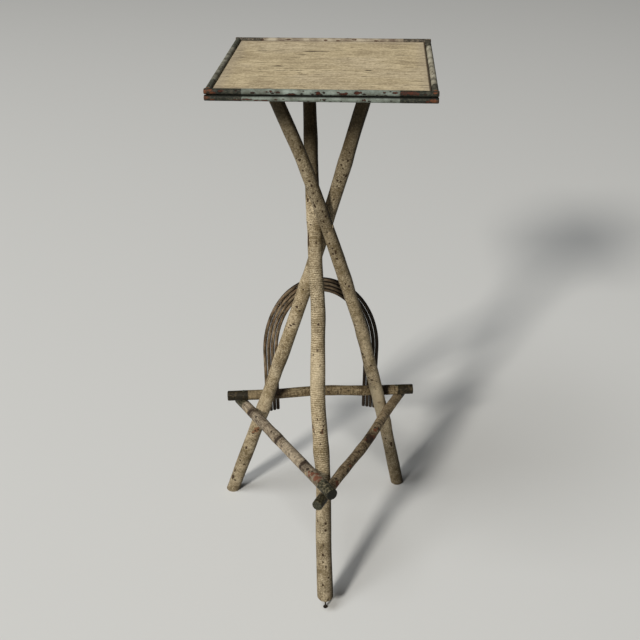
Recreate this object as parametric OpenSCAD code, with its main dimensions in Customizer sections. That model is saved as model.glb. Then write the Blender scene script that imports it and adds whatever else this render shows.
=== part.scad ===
// Rustic side table made of bent sticks. A square board with an edging of twigs stands on
// three legs that cross like a lashed tripod. Three stretchers tie the legs near the floor,
// and four bent twigs make an arch behind them.
// Millimetres, +Z up. The origin is on the floor, under the middle of the table's outline.
// Left, right, front and back are as seen by someone who faces the front leg.

/* [Top] */
// Width of the top over its edging
top_w = 304; // [250:1:380]
// Depth of the top over its edging
top_d = 306; // [250:1:380]
// Height from the floor to the top of the edging
table_h = 822; // [700:1:950]
// Thickness of the board
board_t = 12.5; // [9:0.5:17]
// How far the edging stands above the board
lip_h = 4; // [2:0.5:6]
// Height of one edging twig
edging_h = 8.2; // [6.5:0.1:10]
// Width of one edging twig
edging_w = 9; // [7:0.1:11]

/* [Front leg] */
// Foot, to the right of the middle of the top
front_foot_x = 8.5; // [-10:0.5:25]
// Foot, behind the middle of the top
front_foot_y = -231; // [-290:1:-180]
// Upper end, to the right of the middle of the top
front_head_x = -33.5; // [-42:0.5:-25]
// Upper end, behind the middle of the top
front_head_y = 81; // [62:1:100]
// Diameter at the foot
front_foot_d = 25.2; // [20:0.2:31]
// Diameter at the upper end
front_head_d = 20.4; // [17:0.2:26]
// Length of nail that shows under the foot
foot_nail_show = 24; // [14:1:34]

/* [Back right leg] */
// Foot, to the right of the middle of the top
right_foot_x = 126; // [100:1:155]
// Foot, behind the middle of the top
right_foot_y = 101; // [80:1:130]
// Upper end, to the right of the middle of the top
right_head_x = -75; // [-90:1:-60]
// Upper end, behind the middle of the top
right_head_y = -70; // [-86:1:-58]
// Sideways bow, before the legs are pressed together
right_bow = 20; // [14:1:26]
// Diameter at the foot
right_foot_d = 23.2; // [19:0.2:28]
// Diameter at the upper end
right_head_d = 19.2; // [16:0.2:23]

/* [Back left leg] */
// Foot, to the right of the middle of the top
left_foot_x = -184; // [-220:1:-150]
// Foot, behind the middle of the top
left_foot_y = 63; // [48:1:80]
// Upper end, to the right of the middle of the top
left_head_x = 63; // [50:1:78]
// Upper end, behind the middle of the top
left_head_y = -16; // [-20:1:-12]
// Sideways bow, before the legs are pressed together
left_bow = 5.5; // [3:0.5:8]
// Diameter at the foot
left_foot_d = 24.4; // [20:0.2:29]
// Diameter at the upper end
left_head_d = 20.2; // [17:0.2:24]

/* [Stretchers] */
// Height of the back stretcher on the back left leg
back_left_z = 213; // [170:1:260]
// Height of the back stretcher on the back right leg
back_right_z = 217; // [170:1:260]
// Height of the right stretcher on the front leg
front_z = 200; // [160:1:240]
// Diameter of the back stretcher
back_d = 17.8; // [14:0.2:21]
// Diameter of the left stretcher
left_d = 18.6; // [15:0.2:22]
// Diameter of the right stretcher
right_d = 16.8; // [14:0.2:21]
// Upward bow of the back stretcher between the legs
back_bow = 4.5; // [0:0.5:6]
// Outward bow of the right stretcher between the legs
right_side_bow = 4; // [0:0.5:6]
// How far the back stretcher runs past its corners
back_over = 29; // [20:1:36]
// How far the side stretchers run past the back corners
side_back_over = 24; // [18:1:32]
// How far the side stretchers run past the front corner
side_front_over = 28; // [20:1:36]

/* [Arch] */
// Diameter of one arch twig
arch_d = 6; // [5:0.1:8]
// Width of the arch over its outer twig
arch_w = 200; // [160:1:225]
// Height of the arch above the back stretcher, along its slope
arch_rise = 250; // [210:1:290]
// Height above the back stretcher where the sides begin to curve in
arch_spring = 96; // [70:1:120]
// How far the arch twigs hang below the back stretcher's middle
arch_tail = 54; // [40:1:66]
// Space between neighbouring arch twigs at the sides
arch_side_gap = 0.4; // [0.3:0.1:1.5]
// Space between neighbouring arch twigs at the crown
arch_crown_gap = 1.3; // [0.3:0.1:2]

/* [Nails] */
// Diameter of a framing nail
nail_d = 2.6; // [2:0.1:3.4]
// Diameter of a framing nail's head
nail_head_d = 5.4; // [4:0.1:7]
// Diameter of a brad for the twigs
brad_d = 1.2; // [0.9:0.1:1.6]
// Diameter of a brad's head
brad_head_d = 2.4; // [1.8:0.1:3]
// Diameter of the nail under the front foot
foot_nail_d = 2.4; // [1.8:0.1:3.2]
// Diameter of that nail's head, which rests on the floor
foot_nail_head_d = 7; // [5:0.1:9]

/* [Hidden] */

// Space left between two pieces of wood that touch
seat_gap = 0.25;
// Bevel worn on every sawn end
end_ease = 1.2;

// Sides and rings of the swept sticks
leg_sides = 18;
leg_steps = 36;
stretcher_sides = 14;
stretcher_steps = 18;
edging_sides = 12;
edging_steps = 9;
arch_sides = 10;
arch_side_steps = 5;
arch_crown_steps = 24;
nail_sides = 24;

// Passes of each rule that lets the sticks settle against each other
settle_passes = 12;
// Step, as a share of a leg's length, over which its slope is read
slope_share = 0.002;
// Share of the legs' length where they cross
waist_share = 0.7;

// Heights of the stacked parts of the top
upper_row_z = table_h - edging_h / 2;
lower_row_z = upper_row_z - edging_h - seat_gap;
board_top = table_h - lip_h;
board_bottom = board_top - board_t;
leg_head_z = board_bottom - seat_gap;
board_w = top_w - 2 * (edging_w + seat_gap);
board_d = top_d - 2 * (edging_w + seat_gap);

// Natural swelling of the sticks, as shares of their radius and of their length
grain_wave_share = 0.018;
knot_width_share = 0.014;
front_knot_shares = [[0.278, 0.05], [0.528, 0.035], [0.667, 0.05], [0.861, 0.04]];
right_knot_shares = [[0.194, 0.05], [0.444, 0.06], [0.583, 0.04], [0.833, 0.05]];
left_knot_shares = [[0.25, 0.05], [0.389, 0.045], [0.556, 0.05], [0.833, 0.05]];
stretcher_knot_shares = [[0.3, 0.05], [0.55, 0.07], [0.72, 0.05]];
// Slight bends: share of the leg's length, sideways step and spread as shares of it
front_kink_shares = [
    [0.22, 0.0034, 0.075], [0.38, -0.0018, 0.045], [0.55, 0.0041, 0.075], [0.69, 0.002, 0.05]
];
right_kink_shares = [[0.2, 0.0007, 0.03], [0.47, 0.0023, 0.06], [0.86, 0.0015, 0.06]];
left_kink_shares = [[0.07, -0.0008, 0.05], [0.36, -0.0013, 0.05], [0.9, -0.0008, 0.05]];
front_wave_share = 0.1;
right_wave_share = 0.4;
left_wave_share = 0.75;
front_skew = -0.4;
right_skew = 0.4;
left_skew = 0;
front_bow = 1.6;
front_lean = 3;
right_lean = 2.8;
left_lean = -4.2;

// Nail sizes that follow the pieces they hold
nail_head_share = 0.4;
foot_nail_head_share = 0.6;
foot_nail_depth_share = 1.1;
head_rim_share = 0.35;
nail_bite_share = 0.7;
head_sink_share = 0.05;
top_nail_share = 3;
top_nail_sink_share = 1.5;
edging_nail_shares = [0.12, 0.5, 0.88];
edging_nail_inset_share = 0.08;
edging_nail_reach_share = 1.7;
brad_sink_share = 1.2;
brad_bite_share = 8;
nail_head_t = nail_d * nail_head_share;
brad_head_t = brad_d * nail_head_share;
brad_sink = brad_head_t * brad_sink_share;
foot_nail_head_t = foot_nail_d * foot_nail_head_share;
foot_nail_depth = foot_nail_show * foot_nail_depth_share;

function unit(v) = v / norm(v);
function level(v) = [v.x, v.y, 0];
function joined(rows) = [for (row = rows) each row];
function total(list, i = 0) = i == len(list) ? 0 : list[i] + total(list, i + 1);
function blend(a, b, share) = a + (b - a) * share;

// A leg is [foot, head, bow, skew, foot radius, head radius, knots, wave, kinks]
FOOT = 0;
HEAD = 1;
BOW = 2;
SKEW = 3;
FOOT_R = 4;
HEAD_R = 5;
KNOTS = 6;
WAVE = 7;
KINKS = 8;

function bow_curve(s, skew) = 4 * s * (1 - s) * (1 + skew * (s - 0.5));
function bump(s, middle, spread) = exp(-pow((s - middle) / spread, 2));
function kink(s, kinks) = total([for (k = kinks) k[1] * bump(s, k[0], k[2])]);
function leg_length(leg) = norm(leg[HEAD] - leg[FOOT]);
function leg_point(leg, s) =
    blend(leg[FOOT], leg[HEAD], s) + leg[BOW] * bow_curve(s, leg[SKEW])
    + [kink(s, leg[KINKS]) * leg_length(leg), 0, 0];
function leg_slope(leg, s) =
    unit(leg_point(leg, s + slope_share) - leg_point(leg, s - slope_share));
function leg_share(leg, z) = (z - leg[FOOT].z) / (leg[HEAD].z - leg[FOOT].z);
function knot_swell(s, knots) = total([for (k = knots) k[1] * bump(s, k[0], knot_width_share)]);
function grain_wave(s, start) =
    grain_wave_share * (sin(360 * (3 * s + start)) + sin(360 * (7 * s + 2 * start)));
function leg_radius(leg, s) =
    blend(leg[FOOT_R], leg[HEAD_R], s)
    * (1 + knot_swell(s, leg[KNOTS]) + grain_wave(s, leg[WAVE]));

// Shares of two legs where they pass closest, found by stepping along both
function closest(p, q, s, t, passes) =
    passes == 0 ? [s, t]
    : let (
        u = leg_slope(p, s),
        v = leg_slope(q, t),
        w = leg_point(p, s) - leg_point(q, t),
        b = u * v,
        along_p = (b * (v * w) - u * w) / (1 - b * b),
        along_q = (v * w - b * (u * w)) / (1 - b * b)
    )
    closest(p, q, s + along_p / leg_length(p), t + along_q / leg_length(q), passes - 1);
function crossing(p, q) = closest(p, q, waist_share, waist_share, 5);

// A leg bent a little more, so that its point at share s moves by the given step
function bent(leg, step, s) = [
    for (i = [0:len(leg) - 1]) i == BOW ? leg[i] + step / bow_curve(s, leg[SKEW]) : leg[i]
];
// Two legs pressed together or apart until their skins are one seat gap apart
function pressed(legs, i, j) =
    let (
        shares = crossing(legs[i], legs[j]),
        s = shares[0],
        t = shares[1],
        apart = leg_point(legs[i], s) - leg_point(legs[j], t),
        wanted = leg_radius(legs[i], s) + leg_radius(legs[j], t) + seat_gap,
        side = level(unit(apart)),
        step = side * (wanted - norm(apart)) / (side * side) / 2
    )
    [
        for (k = [0:len(legs) - 1])
            k == i ? bent(legs[k], step, s) : k == j ? bent(legs[k], -step, t) : legs[k]
    ];
function settled(legs, passes) =
    passes == 0 ? legs
    : settled(pressed(pressed(pressed(legs, 0, 1), 1, 2), 0, 2), passes - 1);

loose_legs = [
    [
        [front_foot_x, front_foot_y, foot_nail_show], [front_head_x, front_head_y, leg_head_z],
        [front_bow, front_lean, 0], front_skew, front_foot_d / 2, front_head_d / 2,
        front_knot_shares, front_wave_share, front_kink_shares
    ],
    [
        [right_foot_x, right_foot_y, 0], [right_head_x, right_head_y, leg_head_z],
        [right_bow, right_lean, 0], right_skew, right_foot_d / 2, right_head_d / 2,
        right_knot_shares, right_wave_share, right_kink_shares
    ],
    [
        [left_foot_x, left_foot_y, 0], [left_head_x, left_head_y, leg_head_z],
        [left_bow, left_lean, 0], left_skew, left_foot_d / 2, left_head_d / 2,
        left_knot_shares, left_wave_share, left_kink_shares
    ]
];
legs = settled(loose_legs, settle_passes);
front_leg = legs[0];
right_leg = legs[1];
left_leg = legs[2];

// Middles of a stretcher where it passes two legs, on their outer side, at given heights
function passed(p, p_z, q, q_z, r, along, passes) =
    let (
        s = leg_share(p, p_z),
        t = leg_share(q, q_z),
        p_out = unit(cross(leg_slope(p, s), along)),
        q_out = unit(cross(leg_slope(q, t), along)),
        a = leg_point(p, s) + p_out * (leg_radius(p, s) + r + seat_gap),
        b = leg_point(q, t) + q_out * (leg_radius(q, t) + r + seat_gap)
    )
    passes == 0 ? [a, b] : passed(p, p_z, q, q_z, r, unit(b - a), passes - 1);
function held(p, p_z, q, q_z, r) =
    passed(p, p_z, q, q_z, r, unit(level(q[FOOT] - p[FOOT])), settle_passes);

// Share of a leg that lies nearest a point
function nearest_share(leg, point, passes, s = 0) =
    passes == 0 ? s
    : nearest_share(
        leg, point, passes - 1,
        s + (point - leg_point(leg, s)) * leg_slope(leg, s) / leg_length(leg)
    );

// Distances along two straight sticks, from their first points, to where they cross
function meeting(p, q) =
    let (
        u = unit(p[1] - p[0]),
        v = unit(q[1] - q[0]),
        w = p[0] - q[0],
        b = u * v
    )
    [(b * (v * w) - u * w) / (1 - b * b), (v * w - b * (u * w)) / (1 - b * b)];
function run_point(p, distance) = p[0] + unit(p[1] - p[0]) * distance;
function excess(upper, lower, wanted) =
    let (m = meeting(upper, lower))
    (run_point(upper, m[0]) - run_point(lower, m[1])) * unit_up(upper, lower) - wanted;
function unit_up(p, q) =
    let (n = unit(cross(p[1] - p[0], q[1] - q[0])))
    n * sign(n.z);

back_pass = held(left_leg, back_left_z, right_leg, back_right_z, back_d / 2);
// The side stretchers tilt until the back one lies on both and the left one on the right
function stacked(right_z, left_z, left_front_z, passes) =
    let (
        right = held(right_leg, right_z, front_leg, front_z, right_d / 2),
        left = held(front_leg, left_front_z, left_leg, left_z, left_d / 2),
        lift_right = excess(back_pass, right, (back_d + right_d) / 2 + seat_gap),
        lift_left = excess(back_pass, left, (back_d + left_d) / 2 + seat_gap),
        drop_front = excess(left, right, (left_d + right_d) / 2 + seat_gap)
    )
    passes == 0 ? [left, right]
    : stacked(right_z + lift_right, left_z + lift_left, left_front_z - drop_front, passes - 1);
side_passes = stacked(
    back_right_z - back_d, back_left_z - left_d, front_z + left_d, settle_passes
);
left_pass = side_passes[0];
right_pass = side_passes[1];

left_back_meet = meeting(back_pass, left_pass);
right_back_meet = meeting(back_pass, right_pass);
front_meet = meeting(left_pass, right_pass);
back_ends = [
    run_point(back_pass, left_back_meet[0] - back_over),
    run_point(back_pass, right_back_meet[0] + back_over)
];
left_ends = [
    run_point(left_pass, front_meet[0] - side_front_over),
    run_point(left_pass, left_back_meet[1] + side_back_over)
];
right_ends = [
    run_point(right_pass, right_back_meet[1] - side_back_over),
    run_point(right_pass, front_meet[1] + side_front_over)
];

// The arch lies in a plane that touches the back stretcher and leans on the left leg
arch_r = arch_d / 2;
arch_along = unit(back_ends[1] - back_ends[0]);
arch_base = (back_ends[0] + back_ends[1]) / 2;
arch_off = back_d / 2 + arch_r + seat_gap;
arch_mid_half = arch_w / 2 - arch_r;
arch_mid_rise = arch_rise - arch_r - arch_spring;
side_pitch = arch_d + arch_side_gap;
crown_pitch = arch_d + arch_crown_gap;
arch_start_share = 0.56;
arch_tail_share = 0.03;
// The arch sways to the right, and its left side begins to curve lower down
arch_sway_share = 0.017;
arch_sag_share = 0.065;
arch_sway = arch_w * arch_sway_share;
arch_sag = arch_rise * arch_sag_share;

function across(v) = v - arch_along * (v * arch_along);
function plane_out(point, off) =
    let (
        to_leg = across(point - arch_base),
        up = unit(to_leg),
        back = cross(up, arch_along),
        outward = back * sign(back.y),
        c = (arch_off - off) / norm(to_leg)
    )
    up * c + outward * sqrt(1 - c * c);
function plane_up(out) = let (up = cross(out, arch_along)) up * sign(up.z);
// Point of a crown, from the middle of the arch at the back stretcher
function crown_point(half, rise, a) =
    let (sag = a > 90 ? arch_sag : 0)
    [half * cos(a) + arch_sway, arch_spring - sag + (rise + sag) * sin(a)];
function crown_height(x) =
    crown_point(arch_mid_half, arch_mid_rise, acos((x - arch_sway) / arch_mid_half)).y;
function crown_slope(x) =
    (crown_height(x + arch_r / 2) - crown_height(x - arch_r / 2)) / arch_r;
// Share of the left leg where the outer twig passes behind it, and the plane's direction
function leaned(s, off, passes) =
    let (
        at = leg_point(left_leg, s),
        out = plane_out(at, off),
        up = plane_up(out),
        x = (at - arch_base) * arch_along,
        miss = crown_height(x) - (at - arch_base) * up,
        run = unit(arch_along + up * crown_slope(x)),
        normal = unit(cross(leg_slope(left_leg, s), run)),
        reach = (leg_radius(left_leg, s) + arch_r + seat_gap) / abs(normal * out)
    )
    passes == 0 ? [s, out] : leaned(s + miss / leg_length(left_leg), reach, passes - 1);
arch_lean = leaned(arch_start_share, left_foot_d / 2 + arch_r, settle_passes);
arch_out = arch_lean[1];
arch_up = plane_up(arch_out);
arch_origin = arch_base + arch_out * arch_off;
function on_arch(x, y) = arch_origin + arch_along * x + arch_up * y;

// Middle line of one arch twig, counted from the outer one
function arch_line(k) =
    let (
        half = arch_mid_half - k * side_pitch,
        rise = arch_mid_rise - k * crown_pitch,
        tail = arch_tail * (1 - k * arch_tail_share)
    )
    concat(
        [
            for (i = [0:arch_side_steps - 1])
                on_arch(
                    blend(-half, arch_sway - half, i / arch_side_steps),
                    blend(-tail, arch_spring - arch_sag, i / arch_side_steps)
                )
        ],
        [
            for (i = [0:arch_crown_steps])
                let (p = crown_point(half, rise, 180 - 180 * i / arch_crown_steps))
                on_arch(p.x, p.y)
        ],
        [
            for (i = [arch_side_steps - 1:-1:0])
                on_arch(
                    blend(half, half + arch_sway, i / arch_side_steps),
                    blend(-tail, arch_spring, i / arch_side_steps)
                )
        ]
    );

// Points of one ring, round a middle point, square to its slope
function ring(middle, slope, side, r, sides, oval = 1) =
    let (
        e = unit(cross(side, slope)),
        f = cross(slope, e)
    )
    [
        for (i = [0:sides - 1])
            let (a = 360 * i / sides)
            middle + e * r * cos(a) + f * r * oval * sin(a)
    ];
// The same ring slid along its slope onto a level plane
function levelled(points, slope, z) = [for (p = points) p - slope * ((p.z - z) / slope.z)];

// Shares along a stick, with a worn bevel at both ends
function stations(span, steps) =
    let (e = end_ease / span)
    concat([0, e], [for (i = [1:steps - 1]) i / steps], [1 - e, 1]);
function is_end(s) = s == 0 || s == 1;
function near_end(s, span) = min(s, 1 - s) * span < 2 * end_ease;

function leg_rings(leg) = [
    for (s = stations(leg_length(leg), leg_steps))
        let (
            middle = leg_point(leg, s),
            slope = leg_slope(leg, s),
            r = leg_radius(leg, s) - (is_end(s) ? end_ease : 0),
            points = ring(middle, slope, [0, 1, 0], r, leg_sides)
        )
        near_end(s, leg_length(leg)) ? levelled(points, slope, middle.z) : points
];

// Sideways step of a stick that is bowed between two shares of its length only
function bowed(s, arc) =
    len(arc) == 0 || s <= arc[0] || s >= arc[1] ? [0, 0, 0]
    : arc[2] * pow(sin(180 * (s - arc[0]) / (arc[1] - arc[0])), 2);
function between_legs(ends, pass, step) = [
    norm(pass[0] - ends[0]) / norm(ends[1] - ends[0]),
    norm(pass[1] - ends[0]) / norm(ends[1] - ends[0]),
    step
];

function stretcher_rings(ends, d, start, arc = []) =
    let (span = norm(ends[1] - ends[0]))
    [
        for (s = stations(span, stretcher_steps))
            let (
                thinner = 1 - grain_wave_share * (1 + sin(360 * (4 * s + start))) / 2,
                swell = knot_swell(s, stretcher_knot_shares),
                r = d / 2 * (thinner + swell) - (is_end(s) ? end_ease : 0)
            )
            ring(
                blend(ends[0], ends[1], s) + bowed(s, arc), unit(ends[1] - ends[0]),
                [0, 0, 1], r, stretcher_sides
            )
    ];

function edging_rings(ends, start) =
    let (span = norm(ends[1] - ends[0]))
    [
        for (s = stations(span, edging_steps))
            let (
                thinner = 1 - grain_wave_share * (1 + sin(360 * (5 * s + start))) / 2,
                r = edging_w / 2 * thinner - (is_end(s) ? end_ease : 0)
            )
            ring(
                blend(ends[0], ends[1], s), unit(ends[1] - ends[0]), [0, 0, 1], r,
                edging_sides, edging_h / edging_w
            )
    ];

function line_slope(line, i) =
    unit(line[min(i + 1, len(line) - 1)] - line[max(i - 1, 0)]);
function arch_rings(k) =
    let (line = arch_line(k))
    [
        for (i = [0:len(line) - 1])
            ring(line[i], line_slope(line, i), arch_out, arch_r, arch_sides)
    ];

// A closed skin over a row of rings
module swept(rings) {
    sides = len(rings[0]);
    last = len(rings) - 1;
    walls = [
        for (k = [0:last - 1], i = [0:sides - 1])
            let (
                a = k * sides + i,
                b = k * sides + (i + 1) % sides,
                c = b + sides,
                d = a + sides
            )
            each [[a, d, c], [a, c, b]]
    ];
    near_cap = [for (i = [0:sides - 1]) i];
    far_cap = [for (i = [sides - 1:-1:0]) last * sides + i];
    polyhedron(points = joined(rings), faces = concat(walls, [near_cap, far_cap]));
}

// A nail driven from the point under its head
module nail(from, along, length, d, head_d, head_t) {
    profile = [
        [0, -head_t], [head_d * head_rim_share, -head_t], [head_d / 2, -head_t / 2],
        [head_d / 2, 0],
        [d / 2, 0], [d / 2, length - d], [0, length]
    ];
    translate(from)
        rotate([0, acos(along.z), atan2(along.y, along.x)])
            rotate_extrude($fn = nail_sides)
                polygon(profile);
}

// A nail through an outer round stick and on into an inner one
module pinned(outer, outer_r, inner, inner_r, d, head_d, head_t) {
    along = unit(inner - outer);
    sink = outer_r * head_sink_share;
    nail(
        outer - along * (outer_r - sink), along,
        outer_r - sink + norm(inner - outer) - inner_r * (1 - nail_bite_share),
        d, head_d, head_t
    );
}

// The outline's middle, so that the table stands over its origin
left_edge = min([for (p = leg_rings(left_leg)[1]) p.x]);
front_edge = min([for (p = leg_rings(front_leg)[1]) p.y]);
outline_middle = [(left_edge + top_w / 2) / 2, (front_edge + top_d / 2) / 2, 0];

module placed() {
    translate(-outline_middle) children();
}

module top_board() {
    color("#b9a888")
        placed()
            translate([-board_w / 2, -board_d / 2, board_bottom])
                cube([board_w, board_d, board_t]);
}

// Front and back twigs run the full width, and side twigs fit between them
module long_edging(side, z, start) {
    y = side * (top_d - edging_w) / 2;
    placed() swept(edging_rings([[-top_w / 2, y, z], [top_w / 2, y, z]], start));
}
module short_edging(side, z, start) {
    x = side * (top_w - edging_w) / 2;
    reach = top_d / 2 - edging_w - seat_gap;
    placed() swept(edging_rings([[x, -reach, z], [x, reach, z]], start));
}
module edging_front_upper() {
    color("#8a969b") long_edging(-1, upper_row_z, 0.1);
}
module edging_front_lower() {
    color("#7d8a90") long_edging(-1, lower_row_z, 0.35);
}
module edging_back_upper() {
    color("#85806f") long_edging(1, upper_row_z, 0.6);
}
module edging_back_lower() {
    color("#7c7767") long_edging(1, lower_row_z, 0.2);
}
module edging_left_upper() {
    color("#7f8775") short_edging(-1, upper_row_z, 0.45);
}
module edging_left_lower() {
    color("#78806f") short_edging(-1, lower_row_z, 0.8);
}
module edging_right_upper() {
    color("#8c8f86") short_edging(1, upper_row_z, 0.05);
}
module edging_right_lower() {
    color("#83867d") short_edging(1, lower_row_z, 0.55);
}

module leg_front() {
    color("#a8977a") placed() swept(leg_rings(front_leg));
}
module leg_back_right() {
    color("#a39175") placed() swept(leg_rings(right_leg));
}
module leg_back_left() {
    color("#a08f73") placed() swept(leg_rings(left_leg));
}

module stretcher_back() {
    arc = between_legs(back_ends, back_pass, arch_up * back_bow);
    color("#8f8064") placed() swept(stretcher_rings(back_ends, back_d, 0.2, arc));
}
module stretcher_left() {
    color("#7b6a52") placed() swept(stretcher_rings(left_ends, left_d, 0.5));
}
module stretcher_right() {
    outward = unit(cross([0, 0, 1], right_ends[1] - right_ends[0]));
    arc = between_legs(right_ends, right_pass, outward * right_side_bow);
    color("#8a7a5e") placed() swept(stretcher_rings(right_ends, right_d, 0.8, arc));
}

module arch_twig_outer() {
    color("#77684f") placed() swept(arch_rings(0));
}
module arch_twig_second() {
    color("#6e6049") placed() swept(arch_rings(1));
}
module arch_twig_third() {
    color("#756650") placed() swept(arch_rings(2));
}
module arch_twig_inner() {
    color("#7d6d55") placed() swept(arch_rings(3));
}

module front_foot_nail() {
    color("#2f2b28")
        placed()
            nail(
                [front_foot_x, front_foot_y, foot_nail_head_t], [0, 0, 1],
                foot_nail_show - foot_nail_head_t + foot_nail_depth,
                foot_nail_d, foot_nail_head_d, foot_nail_head_t
            );
}

// One nail where each pair of legs crosses
module leg_crossing_nails() {
    color("#3a332c")
        placed()
            for (pair = [[right_leg, front_leg], [left_leg, front_leg], [right_leg, left_leg]]) {
                shares = crossing(pair[0], pair[1]);
                pinned(
                    leg_point(pair[0], shares[0]), leg_radius(pair[0], shares[0]),
                    leg_point(pair[1], shares[1]), leg_radius(pair[1], shares[1]),
                    nail_d, nail_head_d, nail_head_t
                );
            }
}

// One nail down through the board into each leg, its head set under the paint
module leg_top_nails() {
    color("#3a332c")
        placed()
            for (leg = legs)
                nail(
                    leg[HEAD] + [0, 0, board_top - leg_head_z - nail_head_t * top_nail_sink_share],
                    [0, 0, -1], board_t * top_nail_share, nail_d, nail_head_d, nail_head_t
                );
}

// One nail through each leg into the back stretcher, and one through a side stretcher
// into each leg that it passes
module stretcher_nails() {
    color("#3a332c")
        placed() {
            for (c = [[back_pass[0], left_leg], [back_pass[1], right_leg]]) {
                s = nearest_share(c[1], c[0], settle_passes);
                pinned(
                    leg_point(c[1], s), leg_radius(c[1], s), c[0], back_d / 2,
                    nail_d, nail_head_d, nail_head_t
                );
            }
            for (c = [
                [left_pass[0], front_leg, left_d], [left_pass[1], left_leg, left_d],
                [right_pass[0], right_leg, right_d], [right_pass[1], front_leg, right_d]
            ]) {
                s = nearest_share(c[1], c[0], settle_passes);
                pinned(
                    c[0], c[2] / 2, leg_point(c[1], s), leg_radius(c[1], s),
                    nail_d, nail_head_d, nail_head_t
                );
            }
        }
}

// One nail down through each corner where two stretchers cross
module corner_nails() {
    corners = [
        [back_pass, left_back_meet[0], back_d, left_pass, left_back_meet[1], left_d],
        [back_pass, right_back_meet[0], back_d, right_pass, right_back_meet[1], right_d],
        [left_pass, front_meet[0], left_d, right_pass, front_meet[1], right_d]
    ];
    color("#3a332c")
        placed()
            for (c = corners)
                pinned(
                    run_point(c[0], c[1]), c[2] / 2, run_point(c[3], c[4]), c[5] / 2,
                    nail_d, nail_head_d, nail_head_t
                );
}

// A brad through each arch twig into the back stretcher, and one into the left leg
module arch_nails() {
    leg_spot = leg_point(left_leg, arch_lean[0]);
    twig_spot = on_arch((leg_spot - arch_base) * arch_along, (leg_spot - arch_origin) * arch_up);
    color("#3a332c")
        placed() {
            for (k = [0:3], side = [-1, 1]) {
                sway = arch_sway * arch_tail / (arch_tail + arch_spring);
                spot = on_arch(side * (arch_mid_half - k * side_pitch) + sway, 0);
                pinned(
                    spot, arch_r, spot - arch_out * arch_off, back_d / 2,
                    brad_d, brad_head_d, brad_head_t
                );
            }
            pinned(
                twig_spot, arch_r, leg_spot, leg_radius(left_leg, arch_lean[0]),
                brad_d, brad_head_d, brad_head_t
            );
        }
}

// Brads through the lower twigs into the board's edges
module edging_lower_nails() {
    reach = edging_w + brad_d * brad_bite_share;
    color("#3a332c")
        placed()
            for (share = edging_nail_shares, side = [-1, 1]) {
                nail(
                    [(share - 0.5) * board_w, side * (top_d / 2 - brad_sink), lower_row_z],
                    [0, -side, 0], reach, brad_d, brad_head_d, brad_head_t
                );
                nail(
                    [side * (top_w / 2 - brad_sink), (share - 0.5) * board_d, lower_row_z],
                    [-side, 0, 0], reach, brad_d, brad_head_d, brad_head_t
                );
            }
}

// Brads down through the upper twigs into the lower ones
module edging_upper_nails() {
    reach = edging_h * edging_nail_reach_share;
    z = table_h - brad_sink;
    color("#3a332c")
        placed()
            for (share = edging_nail_shares, side = [-1, 1]) {
                x = (share - 0.5 + edging_nail_inset_share) * board_w;
                y = (share - 0.5 - edging_nail_inset_share) * board_d;
                nail(
                    [x, side * (top_d - edging_w) / 2, z], [0, 0, -1],
                    reach, brad_d, brad_head_d, brad_head_t
                );
                nail(
                    [side * (top_w - edging_w) / 2, y, z], [0, 0, -1],
                    reach, brad_d, brad_head_d, brad_head_t
                );
            }
}

top_board();
edging_front_upper();
edging_front_lower();
edging_back_upper();
edging_back_lower();
edging_left_upper();
edging_left_lower();
edging_right_upper();
edging_right_lower();
leg_front();
leg_back_right();
leg_back_left();
stretcher_back();
stretcher_left();
stretcher_right();
arch_twig_outer();
arch_twig_second();
arch_twig_third();
arch_twig_inner();
front_foot_nail();
leg_crossing_nails();
leg_top_nails();
stretcher_nails();
corner_nails();
arch_nails();
edging_lower_nails();
edging_upper_nails();
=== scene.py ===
import math
import bmesh
import bpy
from mathutils import Matrix, Vector, noise


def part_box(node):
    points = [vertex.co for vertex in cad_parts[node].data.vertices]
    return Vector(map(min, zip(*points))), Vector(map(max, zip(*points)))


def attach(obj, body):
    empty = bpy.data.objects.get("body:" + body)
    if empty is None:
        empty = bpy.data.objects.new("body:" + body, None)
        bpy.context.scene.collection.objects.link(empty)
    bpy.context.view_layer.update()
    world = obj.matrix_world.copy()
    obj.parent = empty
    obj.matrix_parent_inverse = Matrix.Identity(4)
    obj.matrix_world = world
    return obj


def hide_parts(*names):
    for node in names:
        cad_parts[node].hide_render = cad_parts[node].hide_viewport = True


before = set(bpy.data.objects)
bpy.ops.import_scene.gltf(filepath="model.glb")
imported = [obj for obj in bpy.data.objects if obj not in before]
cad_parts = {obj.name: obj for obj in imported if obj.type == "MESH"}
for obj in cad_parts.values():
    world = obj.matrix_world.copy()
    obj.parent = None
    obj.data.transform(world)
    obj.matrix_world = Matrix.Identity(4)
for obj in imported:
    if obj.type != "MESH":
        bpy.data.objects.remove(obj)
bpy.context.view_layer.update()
print("frame loaded:", len(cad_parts), "CAD nodes")

# metres and degrees, read off the photograph's perspective; lens and sensor in millimetres
cameraValues = {
    "place": (0.1021, -1.3252, 1.1548),
    "down": 28.69,
    "turn": -3.87,
    "roll": -0.37,
    "lens": 54.06,
    "sensor": 36,
    "nearest": 0.05,
}


def addCamera(values):
    down, turn, roll = (math.radians(values[key]) for key in ("down", "turn", "roll"))
    ahead = Vector((
        math.sin(turn) * math.cos(down), math.cos(turn) * math.cos(down), -math.sin(down)
    ))
    level = Vector((math.cos(turn), -math.sin(turn), 0))
    upright = level.cross(ahead)
    right = level * math.cos(roll) + upright * math.sin(roll)
    up = upright * math.cos(roll) - level * math.sin(roll)
    camera = bpy.data.objects.new("camera", bpy.data.cameras.new("camera"))
    camera.data.lens = values["lens"]
    camera.data.sensor_width = values["sensor"]
    camera.data.clip_start = values["nearest"]
    camera.matrix_world = (
        Matrix.Translation(values["place"]) @ Matrix((right, up, -ahead)).transposed().to_4x4()
    )
    bpy.context.scene.collection.objects.link(camera)
    bpy.context.scene.camera = camera


addCamera(cameraValues)

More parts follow.
